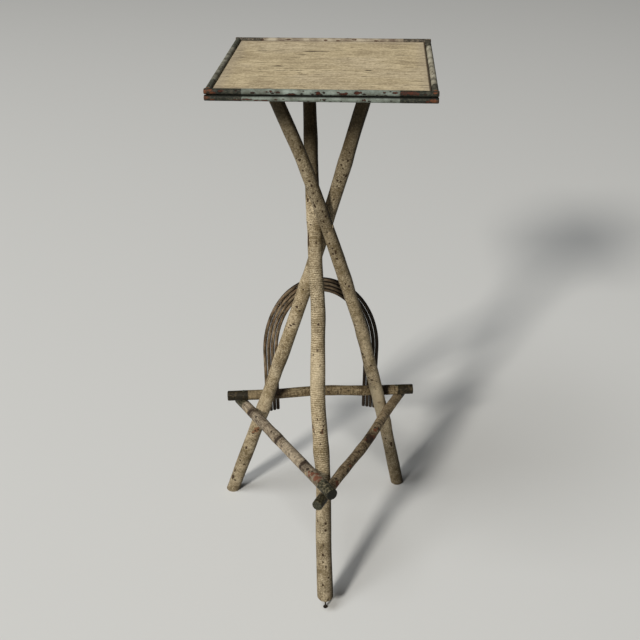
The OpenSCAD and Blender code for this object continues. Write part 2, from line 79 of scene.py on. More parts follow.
# the key lamp stands where the legs' shadows on the floor point to
studioValues = {
    "floorSize": 14,
    "floorColour": (0.63, 0.63, 0.61, 1),
    "floorRough": 0.9,
    "sky": (0.92, 0.92, 0.92, 1),
    "skyStrength": 0.07,
    "lamps": [  # place, aimed at, size, watts, colour
        ((-9.05, -17.25, 11.7), (0, 0, 0.45), 3.4, 4750, (1.0, 0.97, 0.92)),
        ((-5.0, -3.8, 12.4), (0, 0, 0.4), 7.6, 900, (0.96, 0.98, 1.0)),
    ],
}


def addObject(name, mesh, material):
    data = bpy.data.meshes.new(name)
    mesh.to_mesh(data)
    mesh.free()
    data.materials.append(material)
    made = bpy.data.objects.new(name, data)
    bpy.context.scene.collection.objects.link(made)
    return made


def addStudio(values):
    material = bpy.data.materials.new("paleFloor")
    material.use_nodes = True
    shader = material.node_tree.nodes["Principled BSDF"]
    shader.inputs["Base Color"].default_value = values["floorColour"]
    shader.inputs["Roughness"].default_value = values["floorRough"]
    mesh = bmesh.new()
    bmesh.ops.create_grid(mesh, x_segments=1, y_segments=1, size=values["floorSize"] / 2)
    floor = addObject("floor", mesh, material)
    world = bpy.data.worlds.new("studio")
    bpy.context.scene.world = world
    world.use_nodes = True
    sky = world.node_tree.nodes["Background"]
    sky.inputs["Color"].default_value = values["sky"]
    sky.inputs["Strength"].default_value = values["skyStrength"]
    for i, (place, aim, size, watts, colour) in enumerate(values["lamps"]):
        light = bpy.data.lights.new("lamp%d" % i, "AREA")
        light.shape = "DISK"
        light.size = size
        light.energy = watts
        light.color = colour
        lamp = bpy.data.objects.new("lamp%d" % i, light)
        lamp.rotation_euler = (Vector(aim) - Vector(place)).to_track_quat("-Z", "Y").to_euler()
        lamp.location = place
        bpy.context.scene.collection.objects.link(lamp)
    bpy.context.scene.view_settings.view_transform = "Standard"


addStudio(studioValues)
print("camera, floor and light placed")


class Wire:
    def __init__(self, paint, socket):
        self.paint = paint
        self.socket = socket

    def math(self, operation, *values):
        return self.paint.node("Math", {"operation": operation}, dict(enumerate(values)))

    def __add__(self, other):
        return self.math("ADD", self, other)

    def __sub__(self, other):
        return self.math("SUBTRACT", self, other)

    def __rsub__(self, other):
        return self.math("SUBTRACT", other, self)

    def __mul__(self, other):
        return self.math("MULTIPLY", self, other)

    __radd__ = __add__
    __rmul__ = __mul__


specular = 0.14  # old paint and bark shine less than the shader's own 0.5


class Paint:
    def __init__(self, name):
        self.material = bpy.data.materials.new(name)
        self.material.use_nodes = True
        self.tree = self.material.node_tree
        self.shader = self.tree.nodes["Principled BSDF"]

    def node(self, kind, settings, sockets, out=0):
        made = self.tree.nodes.new("ShaderNode" + kind)
        for key, value in settings.items():
            if key == "stops":
                ramp = made.color_ramp
                while len(ramp.elements) < len(value):
                    ramp.elements.new(1)
                for stop, (place, colour) in zip(ramp.elements, value):
                    stop.position = place
                    stop.color = (*colour, 1)
            else:
                setattr(made, key, value)
        for key, value in sockets.items():
            if isinstance(value, Wire):
                self.tree.links.new(value.socket, made.inputs[key])
            else:
                made.inputs[key].default_value = value
        return Wire(self, made.outputs[out])

    def attribute(self, name, out="Fac"):
        return self.node("Attribute", {"attribute_name": name}, {}, out)

    def stick(self, *names):
        # the place along and across a stick, and what addStick stored under these names
        return self.attribute("stick", "Vector"), *(self.attribute(name) for name in names)

    def place(self):
        return self.node("TexCoord", {}, {}, "Object")

    def axes(self, vector):
        split = self.node("SeparateXYZ", {}, {0: vector})
        return [Wire(self, split.socket.node.outputs[i]) for i in range(3)]

    def stretched(self, vector, factors):
        return self.node("VectorMath", {"operation": "MULTIPLY"}, {0: vector, 1: factors})

    def noise(self, vector, scale, detail=2.0, rough=0.5, bend=0.0):
        return self.node("TexNoise", {}, {
            "Vector": vector, "Scale": scale, "Detail": detail, "Roughness": rough,
            "Distortion": bend,
        })

    def cracks(self, vector, scale):
        return self.node("TexVoronoi", {"feature": "DISTANCE_TO_EDGE"}, {
            "Vector": vector, "Scale": scale,
        })

    def dots(self, vector, scale, size, share):
        # round dots of many sizes, in the given share of a lattice of loose cells
        cell = self.node("TexVoronoi", {"feature": "F1"}, {"Vector": vector, "Scale": scale})
        chance, radius, _ = self.axes(Wire(self, cell.socket.node.outputs["Color"]))
        dot = self.mask(cell, radius * size, radius * size * 0.6)
        return dot * self.mask(share - chance, 0.0, 0.05)

    def mask(self, value, low, high):
        return self.node("MapRange", {"interpolation_type": "SMOOTHSTEP"}, {
            "Value": value, "From Min": low, "From Max": high,
        })

    def ramp(self, value, stops):
        return self.node("ValToRGB", {"stops": stops}, {0: value})

    def mix(self, factor, a, b):
        # a Mix node has its colours at sockets 6 and 7, and the mixed one at 2
        a, b = (v if isinstance(v, Wire) else (*v, 1) for v in (a, b))
        return self.node("Mix", {"data_type": "RGBA"}, {0: factor, 6: a, 7: b}, 2)

    def layers(self, colour, values, coats):
        # each coat is a mask and a colour, or its name in values, laid over those before it
        for mask, coat in coats:
            colour = self.mix(mask, colour, values[coat] if isinstance(coat, str) else coat)
        return colour

    def finish(self, colour, roughness, height, relief):
        bump = self.node("Bump", {}, {"Height": height, "Distance": relief, "Strength": 1.0})
        for key, wire in (("Base Color", colour), ("Roughness", roughness), ("Normal", bump)):
            self.tree.links.new(wire.socket, self.shader.inputs[key])
        self.shader.inputs["Specular IOR Level"].default_value = specular
        return self.material


# relief: the bump's height; sawnDepth: how far from an end the sawn wood starts and is full
paintValues = {
    "relief": 0.0006,
    "sawnDepth": (0.0009, 0.0003),
    "cream": (0.35, 0.278, 0.175),
    "pale": (0.54, 0.45, 0.3),
    "dull": (0.175, 0.13, 0.066),
    "olive": (0.16, 0.125, 0.06),
    "grime": (0.055, 0.038, 0.017),
    "shadow": (0.02, 0.013, 0.0035),
    "chip": (0.042, 0.022, 0.012),
    "rust": (0.17, 0.065, 0.025),
    "sawn": (0.34, 0.25, 0.11),
    "hoops": 1848,  # 2 pi over the 3.4 mm between hoops
}


def legPaint(name, values):
    p = Paint(name)
    stick, ends, hoops, mark, red, shade = p.stick("ends", "band", "mark", "red", "shade")
    cloud = p.noise(stick, 24, 3, 0.6)
    patch = p.noise(stick, 120, 3, 0.65)
    cluster = p.noise(stick, 36, 3, 0.6)
    speck = p.noise(stick, 420, 3, 0.62, 0.4)
    streak = p.noise(p.stretched(stick, (0.14, 1, 1)), 260, 3, 0.6)
    grain = p.noise(stick, 700, 2, 0.6)
    flake = p.noise(p.stretched(stick, (1, 0.7, 0.7)), 460, 2, 0.6, 0.3)
    along = p.axes(stick)[0] + p.noise(stick, 60) * 0.007
    hoop = along.math("SINE", along * values["hoops"])
    crackle = p.mask(p.cracks(p.stretched(stick, (0.8, 1, 1)), 330), 0.15, 0.0)
    colour = p.ramp(cloud * 0.55 + patch * 0.45, [
        (0.4, values["dull"]), (0.5, values["cream"]), (0.61, values["pale"]),
    ])
    flakeMask = p.mask(flake, 0.52, 0.62) * (1.0 - hoops * 0.6)
    hoopDark = p.mask(hoop, 0.0, 0.8) * p.mask(flake, 0.66, 0.48) * hoops
    hoopPale = p.mask(hoop, 0.0, -0.8) * p.mask(flake, 0.36, 0.52) * hoops
    dotMask = p.dots(stick, 300, 0.34, cluster * 2.4 - 0.98)
    markMask = p.mask(mark + (speck - 0.5) * (mark * 2.0 + 0.6), 0.3, 0.46)
    redMask = p.mask(red + (speck - 0.5) * 1.4, 0.4, 0.62)
    sawnMask = p.mask(ends, *values["sawnDepth"])
    sawn = p.mix(p.mask(p.noise(stick, 340, 4), 0.4, 0.7), values["sawn"], values["grime"])
    chips = dotMask.math("MAXIMUM", dotMask, markMask)
    colour = p.layers(colour, values, [
        (p.mask(streak, 0.5, 0.72) * 0.4, "olive"),
        (flakeMask * 0.62, "pale"),
        (p.mask(flake, 0.47, 0.37) * (0.8 - hoops * 0.5), "dull"),
        (hoopPale * 0.6, "pale"),
        (hoopDark * 0.85, "dull"),
        (crackle * p.mask(cluster, 0.38, 0.58) * 0.65, "grime"),
        (p.mask(grain, 0.53, 0.7) * 0.6, "grime"),
        (redMask * 0.8, "rust"),
        (dotMask * 0.6, "chip"),
        (markMask * 0.95, "chip"),
        # painted shade: the board's shadow on the leg tops and shade along the legs; shade below 0
        # paints light in the pale colour
        (shade, "shadow"),
        (shade * -1.0, "pale"),
        (sawnMask, sawn),
    ])
    rough = 0.6 + streak * 0.12 + chips * 0.2
    height = (
        grain * 0.1 + streak * 0.2 + flakeMask * 0.12 - crackle * 0.3 - hoopDark * 0.45
        - chips * 0.9
    )
    return p.finish(colour, rough, height, values["relief"])


barkValues = {
    "back": {
        "base": (0.134, 0.097, 0.05), "light": (0.235, 0.182, 0.104),
        "dark": (0.055, 0.037, 0.017), "band": (0.006, 0.005, 0.002),
        "bandWorn": (0.016, 0.012, 0.005), "sawn": (0.02, 0.017, 0.01),
    },
    "left": {
        "base": (0.26, 0.207, 0.144), "light": (0.42, 0.35, 0.25), "dark": (0.085, 0.063, 0.038),
        "band": (0.015, 0.015, 0.008), "bandWorn": (0.105, 0.094, 0.056),
        "sawn": (0.01, 0.01, 0.008),
    },
    "right": {
        "base": (0.2, 0.148, 0.085), "light": (0.34, 0.262, 0.16), "dark": (0.052, 0.034, 0.016),
        "band": (0.011, 0.0105, 0.006), "bandWorn": (0.048, 0.042, 0.022),
        "sawn": (0.052, 0.05, 0.034),
    },
    "red": (0.17, 0.05, 0.025),
    # the dark of cracks and dots, also the colour of the stretchers' painted shade
    "crack": (0.028, 0.018, 0.012),
    "relief": 0.0008,
    "sawnDepth": (0.0009, 0.0003),
}


def stretcherBark(name, values):
    p = Paint(name)
    stick, ends, band, mark, red, shade = p.stick("ends", "band", "mark", "red", "shade")
    cloud = p.noise(stick, 30, 4, 0.62)
    patch = p.noise(p.stretched(stick, (0.6, 1, 1)), 80, 3, 0.6, 0.5)
    streak = p.noise(p.stretched(stick, (0.12, 1, 1)), 330, 3, 0.6)
    grain = p.noise(stick, 650, 3, 0.6)
    speck = p.noise(stick, 290, 4, 0.66, 0.5)
    hoop = p.noise(p.stretched(stick, (1, 0.12, 0.12)), 330, 2, 0.5)
    split = p.cracks(p.stretched(stick, (0.12, 1, 1)), 170)
    splitMask = p.mask(split, 0.03, 0.0) * p.mask(cloud, 0.42, 0.6)
    dotMask = p.dots(stick, 230, 0.38, patch * 2.0 - 0.72)
    markMask = p.mask(mark + (speck - 0.5) * (mark * 2.0 + 0.5), 0.34, 0.54)
    redMask = p.mask(red + (speck - 0.5) * (red * 2.6 + 0.8), 0.34, 0.56)
    bandMask = p.mask(band + (patch - 0.5) * 0.01 + (speck - 0.5) * 0.004, -0.001, 0.0012)
    colour = p.ramp(cloud * 0.5 + patch * 0.5, [
        (0.38, values["dark"]), (0.47, values["base"]), (0.59, values["light"]),
    ])
    worn = p.mix(p.mask(speck, 0.47, 0.6), values["band"], values["bandWorn"])
    worn = p.mix(p.mask(patch + (speck - 0.5), 0.58, 0.66) * 0.25, worn, values["base"])
    sawnMask = p.mask(ends, *values["sawnDepth"])
    sawn = p.mix(p.mask(p.noise(stick, 420, 4), 0.4, 0.66), values["sawn"], values["band"])
    colour = p.layers(colour, values, [
        (p.mask(streak, 0.49, 0.66) * 0.6, "dark"),
        (p.mask(grain, 0.51, 0.66) * 0.75, "light"),
        (p.mask(speck, 0.48, 0.38) * 0.85, "dark"),
        (p.mask(hoop, 0.47, 0.37) * 0.7, "dark"),
        (p.mask(speck, 0.53, 0.63) * 0.6, "light"),
        (redMask * 0.85, "red"),
        (dotMask * 0.7, "crack"),
        (markMask * 0.85, "crack"),
        (splitMask * 0.7, "crack"),
        # painted shade in the dark crack colour; shade below 0 paints light in the light colour
        (shade, "crack"),
        (shade * -1.0, "light"),
        (bandMask * 0.94, worn),
        (sawnMask, sawn),
    ])
    rough = 0.62 + streak * 0.18 - bandMask * 0.16
    height = (
        grain * 0.15 + streak * 0.35 + patch * 0.4 - splitMask * 0.7 - markMask * 0.7
        - dotMask * 0.5 + bandMask * 0.12
    )
    return p.finish(colour, rough, height, values["relief"])


archValues = {
    "base": (0.14, 0.098, 0.056),
    "light": (0.33, 0.255, 0.165),
    "dark": (0.028, 0.017, 0.009),
    "red": (0.13, 0.05, 0.022),
    # the dark of the bark's splits, also the colour of the arch's painted shade
    "slit": (0.012, 0.008, 0.005),
    "relief": 0.0005,
    "sawnDepth": (0.0006, 0.0002),
}


def twigBark(name, values):
    p = Paint(name)
    stick, ends, shade = p.stick("ends", "shade")
    cloud = p.noise(p.stretched(stick, (0.5, 1, 1)), 60, 4, 0.62)
    streak = p.noise(p.stretched(stick, (0.08, 1, 1)), 560, 3, 0.6)
    grain = p.noise(stick, 800, 3, 0.6)
    split = p.cracks(p.stretched(stick, (0.08, 1, 1)), 330)
    splitMask = p.mask(split, 0.06, 0.0) * p.mask(cloud, 0.38, 0.55)
    redMask = p.mask(p.noise(stick, 60, 3, 0.6), 0.5, 0.62)
    colour = p.ramp(cloud, [
        (0.36, values["dark"]), (0.47, values["base"]), (0.62, values["light"]),
    ])
    sawnMask = p.mask(ends, *values["sawnDepth"])
    colour = p.layers(colour, values, [
        (redMask * 0.35, "red"),
        (p.mask(streak, 0.46, 0.66) * 0.6, "dark"),
        (p.mask(grain, 0.5, 0.74) * 0.5, "light"),
        (splitMask * 0.85, "slit"),
        # painted shade in the dark slit colour
        (shade, "slit"),
        (sawnMask * 0.5, "light"),
    ])
    rough = 0.66 + streak * 0.16 + sawnMask * 0.1
    height = grain * 0.18 + streak * 0.5 - splitMask * 0.7
    return p.finish(colour, rough, height, values["relief"])


edgingValues = {
    "front": {
        "paint": (0.13, 0.148, 0.124), "pale": (0.23, 0.265, 0.23),
        "dull": (0.072, 0.073, 0.054), "under": (0.017, 0.012, 0.009), "share": 0.52,
        "band": (0.009, 0.01, 0.0065), "bandWorn": (0.052, 0.048, 0.032),
    },
    "back": {
        "paint": (0.235, 0.195, 0.14), "pale": (0.36, 0.315, 0.235), "dull": (0.11, 0.08, 0.058),
        "under": (0.07, 0.036, 0.022), "share": 0.38,
        "band": (0.028, 0.024, 0.017), "bandWorn": (0.15, 0.125, 0.092),
    },
    "left": {
        "paint": (0.15, 0.145, 0.112), "pale": (0.25, 0.24, 0.19), "dull": (0.06, 0.054, 0.038),
        "under": (0.05, 0.03, 0.018), "share": 0.48,
        "band": (0.05, 0.052, 0.039), "bandWorn": (0.13, 0.13, 0.096),
    },
    # the right side's paler, warmer colours are partly painted light: the lit top of that twig
    "right": {
        "paint": (0.29, 0.265, 0.195), "pale": (0.42, 0.395, 0.305), "dull": (0.12, 0.11, 0.082),
        "under": (0.06, 0.035, 0.02), "share": 0.48,
        "band": (0.02, 0.02, 0.014), "bandWorn": (0.11, 0.1, 0.072),
    },
    "rust": (0.065, 0.018, 0.009),
    "tip": (0.125, 0.043, 0.017),
    # the dark colour of the edging's painted shade
    "grime": (0.012, 0.013, 0.01),
    "relief": 0.0006,
    "sawnDepth": (0.001, 0.0003),
    "bareDepth": (0.016, 0.009),
}


def edgingPaint(name, values):
    p = Paint(name)
    stick, ends, band, mark, red, shade = p.stick("ends", "band", "mark", "red", "shade")
    cloud = p.noise(stick, 60, 4, 0.6)
    streak = p.noise(p.stretched(stick, (0.12, 1, 1)), 420, 3, 0.6)
    grain = p.noise(stick, 800, 2, 0.6)
    speck = p.noise(p.stretched(stick, (0.7, 1, 1)), 420, 4, 0.68, 0.6)
    cluster = p.noise(stick, 50, 3, 0.6)
    dotShare = cluster * 1.8 - values["share"] * 1.6
    dotMask = p.dots(p.stretched(stick, (0.6, 1, 1)), 210, 0.42, dotShare)
    ragged = (speck - 0.5) * (mark * 2.8 + 1.5)
    chipMask = p.mask(mark + ragged, 0.32, 0.48)
    rim = p.mask(mark + ragged, 0.14, 0.32) - chipMask
    bandMask = p.mask(band + (speck - 0.5) * 0.004 + (cluster - 0.5) * 0.004, -0.0005, 0.001)
    redMask = p.mask(red + (cluster - 0.5) * 0.5 + (speck - 0.5) * 2.8, 0.32, 0.58)
    colour = p.ramp(cloud, [
        (0.34, values["dull"]), (0.48, values["paint"]), (0.66, values["pale"]),
    ])
    worn = p.mix(p.mask(speck, 0.47, 0.62), values["band"], values["bandWorn"])
    under = p.mix(p.mask(streak, 0.52, 0.62) * 0.6, values["under"], values["rust"])
    bare = p.mix(p.mask(ends, *values["bareDepth"]), values["rust"], values["tip"])
    bare = p.mix(p.mask(speck, 0.51, 0.6) * 0.8, bare, values["under"])
    tipMask = p.mask(ends, *values["sawnDepth"])
    tip = p.mix(p.mask(p.noise(stick, 500, 3), 0.45, 0.68), values["tip"], values["under"])
    colour = p.layers(colour, values, [
        (p.mask(streak, 0.5, 0.72) * 0.4, "dull"),
        (p.mask(grain, 0.5, 0.8) * 0.35, "pale"),
        (rim * 0.4, "pale"),
        (bandMask * 0.95, worn),
        (dotMask * 0.8, under),
        (chipMask * 0.94, under),
        (redMask * 0.9, bare),
        # painted shade: the gap between the front rows, the lower row's bottom edge and the right
        # twig's outer side
        (shade, "grime"),
        (tipMask, tip),
    ])
    rough = 0.55 + streak * 0.15 + chipMask * 0.25
    height = grain * 0.12 + streak * 0.25 - chipMask * 0.8 - dotMask * 0.6 + bandMask * 0.1
    return p.finish(colour, rough, height, values["relief"])


boardValues = {
    "cream": (0.495, 0.405, 0.25),
    "pale": (0.66, 0.55, 0.355),
    "dull": (0.285, 0.222, 0.136),
    "grey": (0.33, 0.275, 0.205),
    "grime": (0.035, 0.023, 0.013),
    "wood": (0.2, 0.135, 0.075),
    "cracks": [  # x, y from the board's middle, length, width, strength
        (-0.024, 0.077, 0.043, 0.0032, 1.00), (-0.04, 0.056, 0.015, 0.0026, 0.9),
        (-0.1, 0.078, 0.019, 0.0028, 0.75), (-0.076, 0.079, 0.019, 0.0022, 0.5),
        (-0.105, 0.097, 0.014, 0.0024, 0.6), (-0.135, 0.08, 0.012, 0.0026, 0.6),
        (0.059, -0.033, 0.012, 0.003, 1.00), (0.086, -0.046, 0.011, 0.0026, 0.65),
        (-0.128, 0.033, 0.019, 0.0026, 0.45), (-0.094, 0.006, 0.017, 0.0026, 0.45),
        (-0.067, -0.014, 0.013, 0.0026, 0.5), (-0.096, -0.069, 0.022, 0.002, 0.5),
        (-0.049, -0.073, 0.054, 0.0022, 0.45), (-0.017, -0.044, 0.026, 0.002, 0.4),
        (0.109, 0.059, 0.038, 0.003, 0.4), (0.015, 0.031, 0.019, 0.0032, 0.35),
        (0.016, 0.083, 0.014, 0.0022, 0.4), (0.112, -0.016, 0.017, 0.0024, 0.35),
        (0.07, -0.104, 0.026, 0.0022, 0.3), (0.056, -0.132, 0.012, 0.002, 0.6),
        (-0.137, -0.035, 0.01, 0.0024, 0.5), (0.03, -0.074, 0.016, 0.002, 0.35),
    ],
    "crackFall": 60,  # per metre, how fast a crack fades off the face's height
    "sideGap": (0.0036, 0.0016),
    "frontGap": (0.0022, 0.0008),
    "dirtWidth": 0.02,
    "underside": (0.002, 0.004),
    "relief": 0.0008,
    "cells": 150,
    "bevel": 0.0007,
    "worn": 0.00022,
    "grooves": (0.00018, 9, 190, 0),  # height, waves per metre along x and y, seed
    "hollows": (0.0002, 14, 16, 5),
}


def boardPaint(name, values, low, high):
    p = Paint(name)
    place = p.place()
    x, y, z = p.axes(place)
    grain = p.noise(p.stretched(place, (0.06, 1, 1)), 420, 4, 0.6)
    ridge = p.noise(p.stretched(place, (0.3, 1, 1)), 170, 4, 0.62, 0.3)
    mottle = p.noise(p.stretched(place, (1.6, 1, 1)), 170, 3, 0.65)
    band = p.noise(p.stretched(place, (0.25, 1, 1)), 62, 4, 0.6, 0.3)
    cloud = p.noise(p.stretched(place, (0.6, 1, 1)), 15, 4, 0.6)
    fine = p.noise(p.stretched(place, (0.5, 1, 1)), 700, 2, 0.6)
    fleck = p.noise(p.stretched(place, (0.3, 1, 1)), 300, 3, 0.6)
    colour = p.ramp(cloud * 0.45 + band * 0.55, [
        (0.36, values["dull"]), (0.49, values["cream"]), (0.64, values["pale"]),
    ])
    slit = p.mask(ridge * 0.5 + grain * 0.5 + (band - 0.5) * 0.4, 0.6, 0.66)
    fleckMask = p.mask(fleck + (cloud - 0.5) * 0.4, 0.66, 0.72)
    crackMask = None
    for cx, cy, length, width, strength in values["cracks"]:
        near = p.node("VectorMath", {"operation": "LENGTH"}, {0: p.stretched(
            p.node("VectorMath", {"operation": "SUBTRACT"}, {0: place, 1: (cx, cy, high.z)}),
            (2 / length, 1.35 / width, values["crackFall"]),
        )}, 1)
        one = p.mask(near + (fleck - 0.5) * 1.6, 1.25, 0.55) * strength
        crackMask = one if crackMask is None else crackMask.math("MAXIMUM", crackMask, one)
    side = x.math("MINIMUM", x - low.x, high.x - x)
    depth = y.math("MINIMUM", y - low.y, high.y - y)
    # dark lines where the board meets the right, front and back edgings: painted crevice shade and
    # grime
    rim = p.mask(high.x - x, *values["sideGap"]) + p.mask(depth, *values["frontGap"]) * 0.6
    inward = side.math("MINIMUM", side, depth) + (cloud - 0.5) * 0.03
    dirt = p.mask(inward, values["dirtWidth"], 0.0)
    under = p.mask(z, *(high.z - drop for drop in values["underside"]))
    raw = p.mix(p.mask(grain, 0.4, 0.7), values["wood"], values["grey"])
    colour = p.layers(colour, values, [
        (p.mask(cloud, 0.44, 0.62) * 0.35, "grey"),
        (p.mask(ridge, 0.5, 0.64) * 0.62, "dull"),
        (p.mask(mottle, 0.52, 0.66) * 0.55, "dull"),
        (p.mask(mottle, 0.48, 0.34) * 0.55, "pale"),
        (p.mask(ridge, 0.46, 0.34) * 0.55, "pale"),
        (p.mask(grain, 0.52, 0.68) * 0.5, "dull"),
        (p.mask(fine, 0.5, 0.8) * 0.4, "pale"),
        (slit * 0.65, "grime"),
        (fleckMask * 0.6, "wood"),
        (crackMask * 0.9, "grime"),
        (dirt * 0.45, "grey"),
        (rim.math("MINIMUM", rim, 1.0) * 0.92, "grime"),
        (under, raw),
    ])
    rough = 0.58 + band * 0.2 + slit * 0.15
    height = grain * 0.4 + ridge * 0.4 + fine * 0.08 - slit * 0.5 - crackMask * 1.2
    return p.finish(colour, rough, height, values["relief"])


nailValues = {
    "bare": {"base": (0.03, 0.026, 0.022), "worn": (0.1, 0.07, 0.045), "metal": 0.6},
    "leg": {"base": (0.3, 0.235, 0.145), "worn": (0.16, 0.11, 0.06)},
    "band": {"base": (0.036, 0.039, 0.026), "worn": (0.1, 0.09, 0.06)},
    "bark": {"base": (0.11, 0.078, 0.045), "worn": (0.05, 0.034, 0.02)},
    "board": {"base": (0.38, 0.3, 0.19), "worn": (0.2, 0.15, 0.09)},
}


nailRelief = 0.0002


def nailPaint(name, values):
    p = Paint(name)
    place = p.place()
    cloud = p.noise(place, 300, 3, 0.6)
    pit = p.noise(place, 1400, 2, 0.6)
    wear = p.mask(cloud, 0.5, 0.66)
    colour = p.mix(wear, values["base"], values["worn"])
    colour = p.mix(p.mask(pit, 0.55, 0.75) * 0.35, colour, values["worn"])
    p.shader.inputs["Metallic"].default_value = values.get("metal", 0.0)
    return p.finish(colour, 0.45 + wear * 0.3, pit * 0.5 + wear * 0.4, nailRelief)


materials = {"leg": legPaint("legPaint", paintValues), "arch": twigBark("twigBark", archValues)}
for key in ("back", "left", "right"):
    materials["bark" + key] = stretcherBark(
        "stretcherBark" + key.title(), {**barkValues, **barkValues[key]}
    )
for key in ("front", "back", "left", "right"):
    materials[key] = edgingPaint(
        "edgingPaint" + key.title(), {**edgingValues, **edgingValues[key]}
    )
for key, values in nailValues.items():
    materials["nail" + key] = nailPaint("nail" + key.title(), values)
print("materials made:", len(materials))


def isEnd(face, values):
    # an arch twig has both ends facing down, so it starts from the left one
    if face.normal.dot(Vector(values["outward"]).normalized()) <= values.get("edge", 0.97):
        return False
    centre = face.calc_center_median()
    return "startBelow" not in values or (centre.x < 0 and centre.z < values["startBelow"])


def middleLine(values):
    # the stick's middle line and radii, ring by ring from its start
    mesh = bmesh.new()
    mesh.from_mesh(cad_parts[values["node"]].data)
    bmesh.ops.remove_doubles(mesh, verts=mesh.verts, dist=1e-6)
    mesh.normal_update()
    ring = {v for face in mesh.faces if isEnd(face, values) for v in face.verts}
    rings = []
    seen = set(ring)
    while ring:
        rings.append([v.co.copy() for v in ring])
        ring = {e.other_vert(v) for v in ring for e in v.link_edges} - seen
        seen |= ring
    mesh.free()
    line = [sum(points, Vector()) / len(points) for points in rings]
    radii = []
    for i, points in enumerate(rings):
        slope = (line[min(i + 1, len(line) - 1)] - line[max(i - 1, 0)]).normalized()
        away = [p - line[i] for p in points]
        radii.append(sum((a - slope * a.dot(slope)).length for a in away) / len(away))
    return line, radii


def eased(values, place):
    # the value at a fractional place in a list, on a smooth curve through its values
    i = min(int(place), len(values) - 2)
    t = place - i
    a, b = values[max(i - 1, 0)], values[i]
    c, d = values[i + 1], values[min(i + 2, len(values) - 1)]
    return (
        b * 2 + (c - a) * t + (a * 2 - b * 5 + c * 4 - d) * t * t
        + (b * 3 - a - c * 3 + d) * t * t * t
    ) * 0.5


sweepValues = {
    "finer": 8,  # path points from one CAD ring to the next
    "slopeReach": 0.02,  # CAD rings each way
    "pole": 0.02,  # shares of the radius
    "capRings": (0.3, 0.62),
    "capEdge": 0.9,
    "capRough": 0.00012,
    "levelReach": 0.03,
    "spotReach": 1.5,  # in half sizes
    "slowWaves": 9,  # per metre
    "lumps": 130,
    "grains": 420,
    "knotBack": 0.35,  # what is left of a knot on its far side
    "knotFocus": 2.2,
}


def stations(length, step, wear, values):
    # distance along, and the share of the radius, or below it how many wears less than the radius
    ends = [(0, values["pole"]), *((0, share) for share in values["capRings"])]
    ends += [(0, -1.0), (0.3, -0.42), (1.0, 0.0)]
    rows = [(a * wear, share) for a, share in ends]
    count = max(2, round((length - 2 * wear) / step))
    rows += [(wear + (length - 2 * wear) * i / count, 1.0) for i in range(1, count)]
    return rows + [(length - a * wear, share) for a, share in reversed(ends)]


def swelling(values, along, turn, c, s, radius, seed):
    here = Vector((along, radius * c, radius * s))
    low = Vector((along * sweepValues["slowWaves"] + seed * 7, c * 0.5, s * 0.5))
    swell = values["uneven"] * noise.noise(low)
    lump = noise.noise(here * sweepValues["lumps"] + Vector((seed, 0, 0)))
    grain = noise.noise(here * sweepValues["grains"] + Vector((0, seed, 0)))
    swell += values["rough"] * lump
    swell += values["rough"] * 0.5 * grain
    back, focus = sweepValues["knotBack"], sweepValues["knotFocus"]
    for place, angle, height, spread in values.get("knots", ()):
        gap = (along - place) / spread
        if abs(gap) < 3:
            beam = math.exp(focus * (math.cos(turn - math.radians(angle)) - 1))
            facing = back + (1 - back) * beam
            swell += height * facing * math.exp(-gap * gap)
    return swell


def turned(turn, angle):
    return (turn - math.radians(angle) + math.pi) % (2 * math.pi) - math.pi


def spotted(spots, along, turn, radius):
    # 1 inside a spot, and down to 0 at its reach
    most = 0.0
    for place, angle, halfLength, halfWidth in spots:
        off = math.hypot((along - place) / halfLength, turned(turn, angle) * radius / halfWidth)
        most = max(most, min(1, max(0, sweepValues["spotReach"] - off)))
    return most


def between(stops, along):
    # stops are (distance along, value) pairs
    if not stops or along <= stops[0][0]:
        return stops[0][1] if stops else 0.0
    for (a, low), (b, high) in zip(stops, stops[1:]):
        if along <= b:
            return low + (high - low) * (along - a) / (b - a)
    return stops[-1][1]


